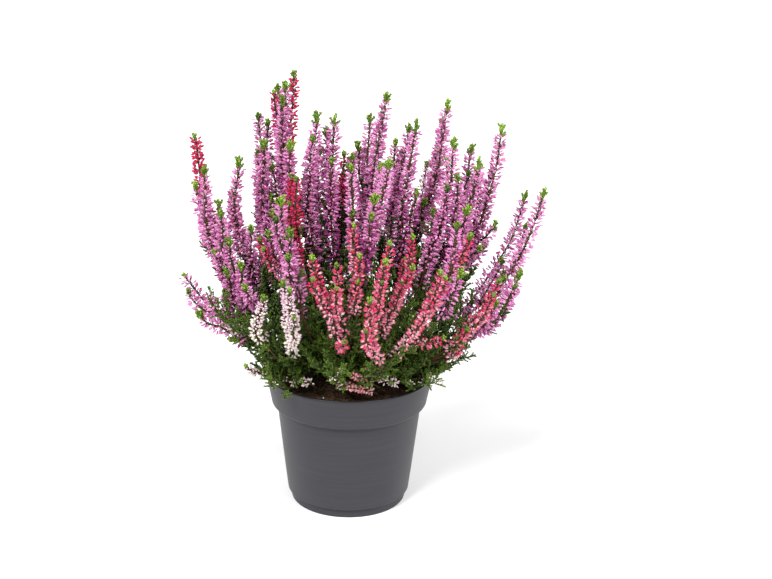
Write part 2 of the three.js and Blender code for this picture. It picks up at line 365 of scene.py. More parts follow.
def aged(places, ages):
    """UV places whose U is brought into the strip that stands for an age."""
    strip = np.clip(ages, 0, 1) * (1 - AGE_WIDTH) + AGE_WIDTH * places[..., 0]
    return np.stack([strip, places[..., 1]], -1)


class Heap:
    """The triangles of one piece, gathered part by part."""

    def __init__(self):
        self.points = []
        self.faces = []
        self.places = []
        self.count = 0

    def add(self, points, faces, places):
        self.points.append(points.reshape(-1, 3))
        self.faces.append(faces.reshape(-1, 3) + self.count)
        self.places.append(places.reshape(-1, 3, 2))
        self.count += len(self.points[-1])

    def add_copies(self, shape, feet, along, outward, lengths, widths, ages):
        """Copies of a shape: its Z along, its Y outward, and each copy's age, with any painted shade, as its
        place in U.
        """
        z = unit(along)
        x = unit(np.cross(outward, z))
        y = np.cross(z, x)
        lengths = np.broadcast_to(lengths, len(feet))[:, None]
        widths = np.broadcast_to(widths, len(feet))[:, None]
        points = feet[:, None] + shape.points @ np.stack([widths * x, widths * y, lengths * z], 1)
        step = np.arange(len(feet))[:, None, None] * len(shape.points)
        ages = np.broadcast_to(ages, len(feet))[:, None, None]
        places = np.broadcast_to(shape.places, (len(feet), *shape.places.shape))
        self.add(points, shape.faces[None] + step, aged(places, ages))

    def add_tube(self, path, radii, sides, rings, age):
        """A closed round tube along a path, its radius read from (share, radius) pairs."""
        shares = np.linspace(0, 1, rings)
        middle = path.at(shares)
        first, second = sideways(path.heading(shares))
        table = np.array(radii)
        radius = np.interp(shares, table[:, 0], table[:, 1])[:, None, None]
        turns = np.linspace(0, 2 * math.pi, sides, endpoint=False)[None, :, None]
        ring = first[:, None] * np.cos(turns) + second[:, None] * np.sin(turns)
        wall = (middle[:, None] + radius * ring).reshape(-1, 3)
        faces, places = skin(shares, sides)
        self.add(np.concatenate([wall, middle[:1], middle[-1:]]), faces, aged(places, age))

    def piece(self, name, material, slot, smooth=True, mapped=True):
        """Makes the Blender object, riding on the one body. The slot is not used."""
        points = np.concatenate(self.points)
        faces = np.concatenate(self.faces)
        mesh = bpy.data.meshes.new(name)
        mesh.vertices.add(len(points))
        mesh.vertices.foreach_set("co", points.ravel())
        mesh.loops.add(3 * len(faces))
        mesh.loops.foreach_set("vertex_index", faces.ravel())
        mesh.polygons.add(len(faces))
        mesh.polygons.foreach_set("loop_start", np.arange(0, 3 * len(faces), 3))
        mesh.polygons.foreach_set("use_smooth", np.full(len(faces), smooth))
        if mapped:
            layer = mesh.uv_layers.new(name=UV_NAME)
            layer.data.foreach_set("uv", np.concatenate(self.places).ravel())
        mesh.materials.append(material)
        mesh.update(calc_edges=True)
        piece = linked(name, mesh)
        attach(piece, "root")
        return piece


# ---- paths ----


class Path:
    """A smooth line through points, read by the share of its length."""

    def __init__(self, points):
        steps = np.linalg.norm(np.diff(points, axis=0), axis=1)
        reach = np.concatenate([[0], np.cumsum(steps)])
        self.length = reach[-1]
        self.points = points
        self.shares = reach / reach[-1]

    def at(self, shares):
        return np.stack([np.interp(shares, self.shares, self.points[:, k]) for k in range(3)], -1)

    def heading(self, shares):
        shares = np.asarray(shares, float)
        return unit(self.at(np.minimum(shares + 0.02, 1)) - self.at(np.maximum(shares - 0.02, 0)))

    def outward(self, share, turn):
        """A direction square to the path, at a turn round it."""
        first, second = sideways(self.heading(share))
        return first * np.cos(turn)[..., None] + second * np.sin(turn)[..., None]


def bent(foot, first_pull, last_pull, tip, count=24):
    """A cubic curve from its foot to its tip."""
    t = np.linspace(0, 1, count)[:, None]
    early = foot * (1 - t) ** 3 + first_pull * 3 * t * (1 - t) ** 2
    return Path(early + last_pull * 3 * t ** 2 * (1 - t) + tip * t ** 3)


def through(points, count=40):
    """A smooth curve that passes through each of the points."""
    padded = np.concatenate([[2 * points[0] - points[1]], points, [2 * points[-1] - points[-2]]])
    spots = np.linspace(0, len(points) - 1, count)
    k = np.minimum(spots.astype(int), len(points) - 2)
    t = (spots - k)[:, None]
    a, b, c, d = padded[k], padded[k + 1], padded[k + 2], padded[k + 3]
    curve = 2 * b + (c - a) * t + (2 * a - 5 * b + 4 * c - d) * t ** 2
    return Path((curve + (3 * b - a - 3 * c + d) * t ** 3) / 2)


def sideways(heading):
    """Two directions square to each heading and to each other."""
    first = unit(np.cross(heading, np.array([0.31, 0.95, 0.05])))
    return first, np.cross(heading, first)


def node_path(name):
    """The middle line of a shoot's CAD solid, from the middles of its rings."""
    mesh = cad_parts[name].data
    points = np.empty(3 * len(mesh.vertices))
    mesh.vertices.foreach_get("co", points)
    points = np.unique(np.round(points.reshape(-1, 3), 6), axis=0)
    foot = points[np.argmin(points[:, 2])]
    tip = points[np.argmax(np.linalg.norm(points - foot, axis=1))]
    heights = (points - foot) @ unit(tip - foot)
    order = np.argsort(heights)
    splits = np.nonzero(np.diff(heights[order]) > 2 * MM)[0] + 1
    return through(np.array([points[group].mean(0) for group in np.split(order, splits)]))


def wobbled(path, rng, size):
    """The same path with a slight natural wander that leaves both ends where they are."""
    shares = path.shares[:, None]
    calm = np.sin(math.pi * shares) ** 0.7
    first, second = sideways(path.heading(path.shares))
    waves = rng.uniform(1.2, 2.6, 2)
    starts = rng.uniform(0, 2 * math.pi, 2)
    offset = first * np.sin(2 * math.pi * waves[0] * shares + starts[0])
    offset = offset + second * np.sin(2 * math.pi * waves[1] * shares + starts[1])
    return Path(path.points + size * calm * offset)


def bowed(path, size):
    """The same path, bowed outward from the pot's axis between its two ends."""
    away = unit((path.points[-1] - path.points[0]) * np.array([1, 1, 0]))
    heading = path.heading(path.shares)
    square = unit(away - heading * (heading @ away)[:, None])
    return Path(path.points + size * square * np.sin(math.pi * path.shares ** 1.2)[:, None])


def swayed(path, low, high):
    """The same path, swayed to the right, most at two fifths of its length and at seven tenths."""
    below = np.sin(math.pi * np.minimum(path.shares / 0.8, 1)) ** 2
    above = np.sin(math.pi * np.maximum((path.shares - 0.4) / 0.6, 0)) ** 2
    shift = (low * below + high * above)[:, None]
    return Path(path.points + shift * np.array([1, 0, 0]))


# ---- the pot's and the compost's shape, shared by what must stay clear of them ----

RIM_RADIUS = 65 * MM
RIM_Z = 105 * MM
COLLAR_LOW_RADIUS = 60.5 * MM
COLLAR_FOOT_Z = 78.5 * MM
SHOULDER = 3.5 * MM
BODY_TOP_RADIUS = 56.1 * MM
BODY_LOW_RADIUS = 47.9 * MM
POT_FOOT_RADIUS = 45 * MM
POT_FOOT_Z = 7.5 * MM
WALL = 1.4 * MM
POT_FLOOR = 1.8 * MM
DRAIN_HOLES = 6
DRAIN_HOLE_RADIUS = 3.5 * MM
DRAIN_CIRCLE_RADIUS = 34 * MM
POT_SIDES = 120
SHARP_EDGE_DEG = 32
COMPOST_RADIUS = 61.9 * MM
COMPOST_EDGE_Z = 97.5 * MM
COMPOST_HEAP = 2.5 * MM
COMPOST_SIDES = 112
CRUMBS = 650
FIBRES = 240
PERLITE_GRAINS = 16
LITTER_RADIUS = 60.5 * MM


def value_noise(x, y, cell, seed):
    """Smooth noise from -1 to 1 over a plane."""
    size = 128
    table = np.random.default_rng(seed).uniform(-1, 1, (size, size))
    across, deep = x / cell + size / 2, y / cell + size / 2
    i, j = np.floor(across).astype(int), np.floor(deep).astype(int)
    u, v = across - i, deep - j
    u, v = u * u * (3 - 2 * u), v * v * (3 - 2 * v)
    i, j = i % (size - 1), j % (size - 1)
    low = table[i, j] * (1 - u) + table[i + 1, j] * u
    high = table[i, j + 1] * (1 - u) + table[i + 1, j + 1] * u
    return low * (1 - v) + high * v


def compost_height(x, y):
    """The height of the lumpy surface."""
    out = np.hypot(x, y) / RIM_RADIUS
    lumps = 1.1 * MM * value_noise(x, y, 7 * MM, 1) + 0.8 * MM * value_noise(x, y, 2.6 * MM, 2)
    grain = 0.5 * MM * value_noise(x, y, 1.3 * MM, 3)
    return COMPOST_EDGE_Z + COMPOST_HEAP * (1 - out ** 2) + lumps + grain


def in_the_clear(points):
    """Which points are outside the pot's wall and above the compost."""
    out = np.hypot(points[:, 0], points[:, 1])
    above_rim = points[:, 2] > RIM_Z + 1.2 * MM
    beside_rim = (out > RIM_RADIUS + 1.5 * MM) & (points[:, 2] > RIM_Z - 1 * MM)
    above_compost = points[:, 2] > compost_height(points[:, 0], points[:, 1]) + 0.6 * MM
    return above_rim | beside_rim | ((out < 58 * MM) & above_compost)


def depth_inside(points):
    """How deep each point lies among the shoots: 0 at the outside and the top, up to 1 within."""
    out = np.hypot(points[:, 0], points[:, 1])
    edge = SHADE_RADIUS + SHADE_WIDENING * (points[:, 2] - RIM_Z)
    low = np.clip((SHADE_TOP_Z - points[:, 2]) / SHADE_FADE, 0, 1)
    return np.clip(1.15 - out / edge, 0, 1) * low


# ---- a shoot ----


def in_pairs(count, rng):
    """Turns round a stem for crossed pairs of leaves."""
    turns = np.arange(count)[:, None] * RIGHT_ANGLE + np.array([0, math.pi])
    return turns.ravel() + rng.uniform(0, math.pi) + rng.normal(0, 0.16, 2 * count)


def leaning(heading, outward, degrees):
    """Directions that lean outward from a heading."""
    lean = np.radians(degrees)[..., None]
    return heading * np.cos(lean) + outward * np.sin(lean)


class Shoot:
    """One shoot with its side spikes: its wood, its leaves, and its buds of each kind."""

    def __init__(self, name):
        self.name = name
        self.kind, _, number = name.split("_")
        self.number = int(number)
        self.rng = np.random.default_rng(sum(ord(c) * (i + 1) for i, c in enumerate(name)))
        self.wood = Heap()
        self.leaves = Heap()
        self.buds = {}

    def own(self, table, usual=()):
        """What a table holds for this shoot, or else the usual value."""
        return table.get(self.kind, {}).get(self.number, usual)

    def is_in(self, table):
        return self.number in table.get(self.kind, ())

    def add_leaves(self, path, start, end, leaves, ages, size=1.0, heap=None):
        """Scale leaves in crossed pairs along a stretch of a path."""
        spacing, length, width = (value * MM * size for value in leaves[:3])
        pairs = max(2, int((end - start) * path.length / spacing))
        shares = np.repeat(np.linspace(start, end, pairs), 2)
        outward = path.outward(shares, in_pairs(pairs, self.rng))
        feet = path.at(shares) + outward * 0.15 * width
        age = ages[0] + (ages[1] - ages[0]) * (shares - start) / (end - start)
        headings = path.heading(shares)
        self.add_scales(feet, headings, outward, leaves[3], age, 0.05, length, width, heap or self.leaves)

    def add_scales(self, feet, headings, outward, lean, ages, age_scatter, lengths, width, heap):
        """Scale leaves that lean outward from their headings, each a little unlike the next."""
        rng = self.rng
        count = len(feet)
        along = leaning(headings, outward, lean + rng.normal(0, LEAN_SCATTER, count))
        ages = ages + rng.normal(0, age_scatter, count)
        lengths = lengths * rng.uniform(0.85, 1.15, count)
        heap.add_copies(SCALE, feet, along, outward, lengths, width, ages)

    def add_branchlets(self, feet, headings, lengths, ages, size, width):
        """Short leafy branchlets, all at once: crossed pairs of scale leaves along each."""
        clear = in_the_clear(feet + headings * lengths[:, None])
        feet, headings, lengths, ages = feet[clear], headings[clear], lengths[clear], ages[clear]
        if not len(feet):
            return
        spacing, leaf, lean = BRANCHLET_LEAVES
        pairs = np.maximum(2, (lengths / (spacing * MM * size)).astype(int))
        which = np.repeat(np.arange(len(feet)), pairs)
        order = np.arange(len(which)) - np.repeat(np.cumsum(pairs) - pairs, pairs)
        done = (order / pairs[which])[:, None]
        reach = lengths[which][:, None]
        spots = feet[which] + headings[which] * reach * done + UP * 0.16 * reach * done ** 2
        first, second = sideways(headings)
        turns = (order * RIGHT_ANGLE + self.rng.uniform(0, math.pi, len(feet))[which])[:, None]
        outward = first[which] * np.cos(turns) + second[which] * np.sin(turns)
        outward = np.concatenate([outward, -outward])
        spots, which, done = np.tile(spots, (2, 1)), np.tile(which, 2), np.tile(done[:, 0], 2)
        age = ages[which] + 0.14 * done
        length = leaf * MM * size * (1 - 0.2 * done)
        self.add_scales(spots, headings[which], outward, lean, age, 0.04, length, width * MM, self.leaves)

    def add_leafy_twig(self, path, age, size=1.0):
        """A leafy twig: scale leaves along it, and leafy branchlets that grow shorter to its end."""
        rng = self.rng
        if not in_the_clear(path.at(np.linspace(0.35, 1, 6))).all():
            return
        self.wood.add_tube(path, [(0, 0.4 * MM), (1, 0.2 * MM)], 3, 5, rng.uniform(0, 0.6))
        self.add_leaves(path, 0.1, 1, TWIG_LEAVES, (age, age + 0.14), size)
        count = int(path.length / (1.9 * MM * size))
        shares = np.linspace(0.12, 0.94, count)
        turns = np.arange(count) * GOLDEN_TURN + rng.normal(0, 0.3, count)
        headings = leaning(path.heading(shares), path.outward(shares, turns), rng.uniform(32, 50, count))
        lengths = (9 - 5.5 * shares) * MM * rng.uniform(0.75, 1.15, count)
        ages = np.full(count, age + 0.02)
        self.add_branchlets(path.at(shares), headings, lengths, ages, size, width=0.78 * size)

    def add_spray(self, foot, heading, length, age, size):
        """A short leafy twig that turns upwards as it grows."""
        lean = unit(heading + UP * self.rng.uniform(0.3, 1.2))
        tip = foot + lean * length
        pull = tip - unit(lean + UP * 0.4) * 0.35 * length
        self.add_leafy_twig(bent(foot, foot + heading * 0.4 * length, pull, tip, 8), age, size)

    def add_undergrowth(self, path, count):
        """Leafy twigs from the foot of the shoot, that fill the space over the compost."""
        rng = self.rng
        aim = path.at(0.5)
        for _ in range(count):
            turn = math.atan2(aim[1], aim[0]) + rng.normal(0, 0.6)
            reach = rng.uniform(20, 60)
            facing_front = -math.sin(turn) > 0.8
            if facing_front:
                reach = min(reach, rng.uniform(25, 45))
            rise = rng.uniform(18, 34) + max(0, 66 - reach) * rng.uniform(0.3, 1.6)
            tip = np.array([reach * math.cos(turn), reach * math.sin(turn), 96 + rise]) * MM
            foot = path.at(rng.uniform(0.03, 0.14))
            span = np.linalg.norm(tip - foot)
            pull = tip - unit(unit(tip - foot) * 0.5 + UP) * 0.4 * span
            twig = bent(foot, foot + unit(tip - foot + UP * 0.3 * span) * 0.3 * span, pull, tip, 12)
            age = 0.11 + 0.3 * rng.uniform(0, 1) ** 2
            self.add_leafy_twig(twig, age, 1.0 if reach > 42 else 1.35)

    def add_foliage(self, path, start, end, spacing, longest):
        """Leafy sprays along a stretch of a stem, longest near the middle of the stretch."""
        rng = self.rng
        count = max(1, int((end - start) * path.length / spacing))
        for k in range(count):
            done = (k + rng.uniform(0, 1)) / count
            share = start + (end - start) * done
            outward = path.outward(share, np.array(k * GOLDEN_TURN + rng.normal(0, 0.4)))
            side = unit(path.heading(share) * rng.uniform(0.4, 1.0) + outward)
            bulge = 0.55 + 0.45 * math.sin(math.pi * (0.15 + 0.7 * done))
            length = longest * bulge * rng.uniform(0.7, 1.1)
            foot = path.at(share)
            inside = np.hypot(foot[0], foot[1]) < SHADE_RADIUS
            outer = 0.07 + (0.11 if self.kind == "leafy" else 0)
            # Sprays near the axis take the darkest leaf colours, as painted shade.
            age = 0.02 if inside else outer + 0.2 * rng.uniform(0, 1) ** 2
            self.add_spray(foot, side, length, age, 1.6 if inside else 1.0)

    def add_tip(self, path, start, bright):
        """The leafy end of a shoot, like a small fir: a crowded middle and upright side tips."""
        rng = self.rng
        self.add_leaves(path, start, 0.99, TIP_LEAVES, (bright - 0.35, bright))
        count = int(rng.integers(4, 8))
        size = min(1.0, (1 - start) * path.length / FULL_TIP)
        done = np.linspace(0.04, 0.6, count)
        shares = start + (1 - start) * done
        turns = np.arange(count) * GOLDEN_TURN + rng.uniform(0, 6)
        headings = leaning(path.heading(shares), path.outward(shares, turns), rng.uniform(28, 46, count))
        lengths = (6.4 - 3 * done) * MM * size * rng.uniform(0.75, 1.1, count)
        ages = np.full(count, bright - 0.15)
        self.add_branchlets(path.at(shares), headings, lengths, ages, size=0.95, width=1.5)

    def add_buds(self, path, start, end, kind, crowding, vigour):
        """Closed buds in loose whorls all round a stretch of a path, some with a bract below."""
        style = KINDS[kind]
        rng = self.rng
        count = int((end - start) * path.length / MM * crowding)
        if count < 3:
            return
        done = np.clip((np.arange(count) + rng.uniform(-1.5, 1.5, count)) / count, 0, 1) ** 0.88
        shares = start + (end - start) * done
        bunching = np.sin(2 * math.pi * shares * path.length / WHORL_STEP + rng.uniform(0, 6))
        shares = np.clip(shares + 0.55 * MM / path.length * bunching, 0, 1)
        turns = np.arange(count) * GOLDEN_TURN + rng.normal(0, 0.5, count)
        outward = path.outward(shares, turns)
        heading = path.heading(shares)
        tilt_top, tilt_low = style["tilt"]
        tilt = tilt_low + (tilt_top - tilt_low) * done ** 1.5 + rng.normal(0, 16, count)
        along = leaning(heading, outward, tilt)
        spread = rng.uniform(*style["spread"], count) * MM * (1 - 0.3 * done ** 6) * vigour
        feet = path.at(shares) + outward * 0.3 * MM
        small = (1 - 0.2 * done ** 5) * (0.6 + 0.4 * vigour)
        lengths = style["bud"] * MM * small * rng.uniform(0.8, 1.18, count)
        widths = style["girth"] * MM * small * rng.uniform(0.84, 1.12, count)
        # Buds deep among the shoots are given darker colours, as painted shade.
        depth = depth_inside(feet)
        darker = 0.7 if path.points[-1, 2] > DARK_CRIMSON_Z else 0
        shade = {
            "mauve": rng.uniform(0.0, 0.38) + 0.6 * depth + rng.normal(0, 0.38, count),
            "crimson": darker + done ** 0.7 + rng.normal(0, 0.25, count),
            "pale": 0.8 * done + rng.normal(0, 0.22, count),
            "blush": 0.7 * done + rng.normal(0, 0.25, count),
        }
        heap = self.buds.setdefault(kind, Heap())
        feet_out = feet + along * spread[:, None]
        heap.add_copies(BUD, feet_out, along, outward, lengths, widths, shade[kind])
        some = slice(None, None, 3)
        bract = leaning(heading[some], outward[some], tilt[some] - 12)
        length = spread[some] + rng.uniform(1.2, 2.6, len(bract)) * MM
        tones = rng.uniform(0, 1, len(bract))
        self.wood.add_copies(SCALE, feet[some], bract, outward[some], length, 0.5 * MM, tones)

    def add_spike(self, path, kind, bloom, crowding, vigour, bright=None, tip_length=None):
        """A flowering stem: wood, leaves, buds and a leafy tip. Returns where its bloom starts."""
        rng = self.rng
        tip_length = tip_length or rng.uniform(*TIPS[kind]) * MM * vigour ** TIP_POWER
        tip_start = max(0.3, 1 - tip_length / path.length)
        bloom_start = max(0.08, tip_start - bloom * MM / path.length)
        radii = [(0, 0.95 * MM * vigour), (0.7, 0.75 * MM), (1, 0.3 * MM)]
        self.wood.add_tube(path, radii, 5, 10, rng.uniform(0.1, 0.9))
        self.add_leaves(path, 0.05, bloom_start, STEM_LEAVES, (0.05, 0.15))
        self.add_leaves(path, bloom_start, tip_start, LEAVES_AMONG_BUDS, (0.4, 1.0), heap=self.wood)
        last_bud = tip_start + 0.1 * (1 - tip_start)
        self.add_buds(path, bloom_start, last_bud, kind, crowding, vigour)
        self.add_tip(path, tip_start, rng.uniform(0.45, 0.9) if bright is None else bright)
        return bloom_start

    def grow(self):
        """The whole shoot, round the middle line of its CAD solid."""
        rng = self.rng
        middle = node_path(self.name)
        reach = np.linalg.norm((middle.points[-1] - middle.points[0]) * np.array([1, 1, 0]))
        path = wobbled(middle, rng, 1.3 * MM)
        if not self.is_in(UNBOWED):
            path = bowed(path, BOW * reach)
        low, high = self.own(SWAYS, (0, 0))
        path = swayed(path, low * MM, high * MM)
        rooted = path.points[0] - middle.heading(0.0) * 1.2 * MM
        path = Path(np.concatenate([[rooted], path.points]))
        self.add_undergrowth(path, 8 if self.kind == "leafy" else 2)
        if self.kind == "leafy":
            self.wood.add_tube(path, [(0, 0.8 * MM), (1, 0.25 * MM)], 5, 12, 0.5)
            self.add_leaves(path, 0.2, 0.98, LEAFY_STEM_LEAVES, (0.05, 0.35))
            last_leaves = 0.97
            if self.own(BUDDED):
                kind, stretch = self.own(BUDDED)
                self.add_buds(path, 1 - stretch, 0.97, kind, 2.5, 1.0)
                last_leaves = 1 - 0.6 * stretch
            self.add_foliage(path, 0.1, last_leaves, 4.2 * MM, 21 * MM)
        else:
            style = KINDS[self.kind]
            usual = min(style["bloom"], style["share"] * path.length / MM), style["crowding"]
            bloom, crowding = self.own(BLOOMS, usual)
            tip_length = self.own(SHORT_TIPS, rng.uniform(*TIPS[self.kind])) * MM
            vigour = self.own(VIGOUR, 1.0)
            start = self.add_spike(path, self.kind, bloom, crowding, vigour, None, tip_length)
            self.add_foliage(path, 0.12, start + 0.1, 9 * MM, 24 * MM)
            if not self.is_in(LONE):
                self.add_more_spike(path, bloom)
        for share, tip, bloom, *kind in self.own(SIDE_SPIKES):
            kind = kind[0] if kind else self.kind
            self.add_side_spike(path, share, np.array(tip) * MM, kind, bloom, SIDE_VIGOUR)
        for foot, tip, kind, bloom in self.own(LOW_SPIKES):
            self.add_low_spike(np.array(foot) * MM, np.array(tip) * MM, kind, bloom)
        for tip in self.own(SIDE_TWIGS):
            self.add_side_twig(path, np.array(tip) * MM)
        if self.is_in(TUFTED):
            self.add_tufts(path)

    def add_side_twig(self, parent, tip):
        foot = parent.at(0.3)
        reach = np.linalg.norm(tip - foot)
        arrival = unit(unit(tip - foot) + UP * 0.4)
        pull = foot + unit(tip - foot + UP * 0.2 * reach) * 0.35 * reach
        twig = bent(foot, pull, tip - arrival * 0.35 * reach, tip, 12)
        # Twigs between the spikes take the darkest leaf colours, as painted shade, and larger leaves.
        between_spikes = tip[2] > TWIG_SHADE_Z
        size = 1.9 if between_spikes else 1.0
        self.add_leafy_twig(twig, 0.02 if between_spikes else self.rng.uniform(0.05, 0.15), size)

    def add_side_spike(self, parent, share, tip, kind, bloom, vigour, bright=None):
        """A spike that leaves its parent along it, then bends to its own tip."""
        foot = parent.at(share)
        reach = np.linalg.norm(tip - foot)
        arrival = unit(unit(tip - foot) * 0.6 + UP * 0.8)
        path = bent(foot, foot + parent.heading(share) * 0.3 * reach, tip - arrival * 0.4 * reach, tip)
        path = wobbled(path, self.rng, 0.8 * MM)
        start = self.add_spike(path, kind, bloom, KINDS[kind]["crowding"], vigour, bright)
        self.add_foliage(path, 0.05, start + 0.05, 13 * MM, 16 * MM)

    def add_more_spike(self, parent, parent_bloom):
        """A spike close in front of its parent or behind it, and a little lower."""
        rng = self.rng
        beside = parent.at(rng.uniform(0.8, 0.94))
        aside = np.array([rng.uniform(-4, 1), rng.choice([-1, 1]) * rng.uniform(7, 11), 0]) * MM
        bloom = rng.uniform(0.4, 0.7) * parent_bloom
        fork = rng.uniform(0.4, 0.58)
        bright = rng.uniform(0.2, 0.6)
        self.add_side_spike(parent, fork, beside + aside, self.kind, bloom, SECOND_VIGOUR, bright)

    def add_low_spike(self, foot, tip, kind, bloom):
        lie = unit(tip - foot)
        path = bent(foot, foot + (lie * 6 + UP * 3) * MM, tip + (UP * 2 - lie * 8) * MM, tip)
        self.add_spike(path, kind, bloom, 2.6, LOW_VIGOUR, 0.5, 3.5 * MM)

    def add_tufts(self, path):
        """Small white buds at the ends of some low sprays."""
        rng = self.rng
        for _ in range(6):
            share = rng.uniform(0.45, 1)
            outward = path.outward(share, np.array(rng.uniform(0, 2 * math.pi)))
            heading = unit(path.heading(share) + outward + UP * 0.5)
            foot = path.at(share)
            tuft = Path(np.array([foot, foot + heading * rng.uniform(7, 11) * MM]))
            if in_the_clear(tuft.points).all():
                self.add_leaves(tuft, 0.1, 1, TUFT_LEAVES, (0.3, 0.6))
                self.add_buds(tuft, 0.6, 1, "pale", 2.2, 0.35)

    def make_pieces(self):
        wood = self.wood.piece(self.name + "_stem", TWIG_MATERIAL, "bark")
        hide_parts(self.name)
        self.leaves.piece(self.name + "_leaves", LEAF_MATERIAL, "leaf")
        for kind, heap in self.buds.items():
            slot = "bud_pale" if kind == "blush" else "bud_" + kind
            heap.piece(f"{self.name}_{kind}_buds", BUD_MATERIALS[kind], slot)


# ---- materials ----


class Nodes:
    """A new material's node tree, with short ways to add and join nodes."""

    def __init__(self, name, roughness, specular):
        self.material = bpy.data.materials.new(name)
        self.material.use_nodes = True
        self.tree = self.material.node_tree
        self.shader = self.tree.nodes["Principled BSDF"]
        self.shader.inputs["Roughness"].default_value = roughness
        self.shader.inputs["Specular IOR Level"].default_value = specular

    def add(self, kind, **values):
        node = self.tree.nodes.new(kind)
        for name, value in values.items():
            if name in node.inputs:
                node.inputs[name].default_value = value
            else:
                setattr(node, name, value)
        return node

    def join(self, source, target):
        self.tree.links.new(source, target)

    def ramp(self, value, colours, places):
        """A colour ramp from sRGB codes and their places."""
        node = self.add("ShaderNodeValToRGB")
        stops = node.color_ramp.elements
        while len(stops) < len(colours):
            stops.new(0.5)
        for stop, place, colour in zip(stops, places, colours):
            stop.position = place
            stop.color = tint(colour)
        self.join(value, node.inputs["Fac"])
        return node.outputs["Color"]

    def mix(self, factor, first, second, blend="MIX"):
        """Two colours mixed or blended; each value is a socket or a constant."""
        node = self.add("ShaderNodeMix", data_type="RGBA", blend_type=blend)
        for value, socket in ((factor, node.inputs[0]), (first, node.inputs[6]), (second, node.inputs[7])):
            if isinstance(value, bpy.types.NodeSocket):
                self.join(value, socket)
            else:
                socket.default_value = value
        return node.outputs[2]

    def between(self, value, low, high, start=0.0, end=1.0):
        """A value brought from the range start to end into the range low to high."""
        node = self.add("ShaderNodeMapRange")
        for name, bound in (("From Min", start), ("From Max", end), ("To Min", low), ("To Max", high)):
            node.inputs[name].default_value = bound
        self.join(value, node.inputs["Value"])
        return node.outputs[0]

    def noise(self, place, scale, detail, stretch=(1, 1, 1)):
        mapping = self.add("ShaderNodeMapping", Scale=stretch)
        self.join(place, mapping.inputs["Vector"])
        node = self.add("ShaderNodeTexNoise", Scale=scale, Detail=detail)
        self.join(mapping.outputs["Vector"], node.inputs["Vector"])
        return node.outputs["Fac"]

    def bump(self, height, strength, distance):
        node = self.add("ShaderNodeBump", Strength=strength, Distance=distance)
        self.join(height, node.inputs["Height"])
        self.join(node.outputs["Normal"], self.shader.inputs["Normal"])


def aged_material(name, colours, roughness, mottle, places=(0.05, 0.4, 0.9)):
    """Reads age across U, with any painted shade, and foot-to-tip along V, and varies the brightness from
    copy to copy.
    """
    nodes = Nodes(name, roughness, 0.25)
    uv = nodes.add("ShaderNodeUVMap", uv_map=UV_NAME)
    split = nodes.add("ShaderNodeSeparateXYZ")
    nodes.join(uv.outputs["UV"], split.inputs[0])
    old = nodes.ramp(split.outputs["Y"], colours[0], places)
    young = nodes.ramp(split.outputs["Y"], colours[1], places)
    aged = nodes.mix(split.outputs["X"], old, young)
    noise = nodes.noise(uv.outputs["UV"], 1.0, 2.0, (40, 3, 1))
    tone = nodes.between(noise, 1 - mottle, 1 + mottle, 0.3, 0.7)
    grey = nodes.add("ShaderNodeCombineColor")
    for channel in ("Red", "Green", "Blue"):
        nodes.join(tone, grey.inputs[channel])
    colour = nodes.mix(1.0, aged, grey.outputs[0], "MULTIPLY")
    nodes.join(colour, nodes.shader.inputs["Base Color"])
    return nodes.material


def plastic_material():
    """Dark grey moulded plastic: fine streaks and grain, painted shade and a duller finish under the collar,
    and painted shade round a glossy lip.
    """
    nodes = Nodes("pot_plastic", 0.45, 0.24)
    place = nodes.add("ShaderNodeTexCoord").outputs["Object"]
    streaks = nodes.noise(place, 30.0, 4.0, (0.6, 0.6, 14))
    colour = nodes.ramp(streaks, ("#302f34", "#323136", "#353439"), (0.3, 0.5, 0.7))
    height = nodes.add("ShaderNodeSeparateXYZ")
    nodes.join(place, height.inputs[0])
    level = nodes.between(height.outputs["Z"], 0.0, 1.0, 0.0, RIM_Z)
    groove = (np.array([-0.6, 0.9, 2.6]) * MM + COLLAR_FOOT_Z) / RIM_Z
    # Painted shade: a dark band in the groove under the collar, which is also made rougher there.
    collar_shade = nodes.ramp(level, ("#000000", "#8c8c8c", "#000000"), groove)
    # Painted shade: a dark band round the lip, which is also made glossier.
    lip_shade = nodes.ramp(level, ("#000000", "#e1e1e1"), (np.array([-2.4, -0.1]) * MM + RIM_Z) / RIM_Z)
    colour = nodes.mix(lip_shade, nodes.mix(collar_shade, colour, tint("#131113")), tint("#131113"))
    nodes.join(colour, nodes.shader.inputs["Base Color"])
    dull, shiny = (0.95, 0.95, 0.95, 1), (0.16, 0.16, 0.16, 1)
    roughness = nodes.mix(collar_shade, nodes.between(streaks, 0.36, 0.48), dull)
    nodes.join(nodes.mix(lip_shade, roughness, shiny), nodes.shader.inputs["Roughness"])
    nodes.bump(nodes.noise(place, 800.0, 2.0, (0.5, 0.5, 1.5)), 0.12, 0.0003)
    return nodes.material


def earth_material(name, colours, scale, roughness):
    """A rough natural surface, mottled by noise and roughened by a bump."""
    nodes = Nodes(name, roughness, 0.2)
    place = nodes.add("ShaderNodeTexCoord").outputs["Object"]
    noise = nodes.noise(place, scale, 6.0)
    colour = nodes.ramp(noise, colours, (0.32, 0.5, 0.68))
    nodes.join(colour, nodes.shader.inputs["Base Color"])
    nodes.bump(noise, 0.6, 0.001)
    return nodes.material


LEAF_MATERIAL = aged_material("leaf", LEAF_COLOURS, 0.55, 0.3)
TWIG_MATERIAL = aged_material("twig_bark", TWIG_COLOURS, 0.75, 0.25)
BUD_MATERIALS = {
    kind: aged_material(kind + "_bud", BUD_COLOURS[kind], 0.6, 0.22, BUD_PLACES[kind])
    for kind in BUD_COLOURS
}
PLASTIC_MATERIAL = plastic_material()
COMPOST_MATERIAL = earth_material("compost", ("#1d140d", "#37281b", "#5d4630"), 420.0, 0.95)
BARK_MATERIAL = earth_material("stock_bark", ("#2a1c15", "#483225", "#6b4c38"), 260.0, 0.85)
PERLITE_MATERIAL = earth_material("perlite", ("#c5c0b6", "#dcd8ce", "#ebe8e0"), 500.0, 0.9)

# ---- the pot ----


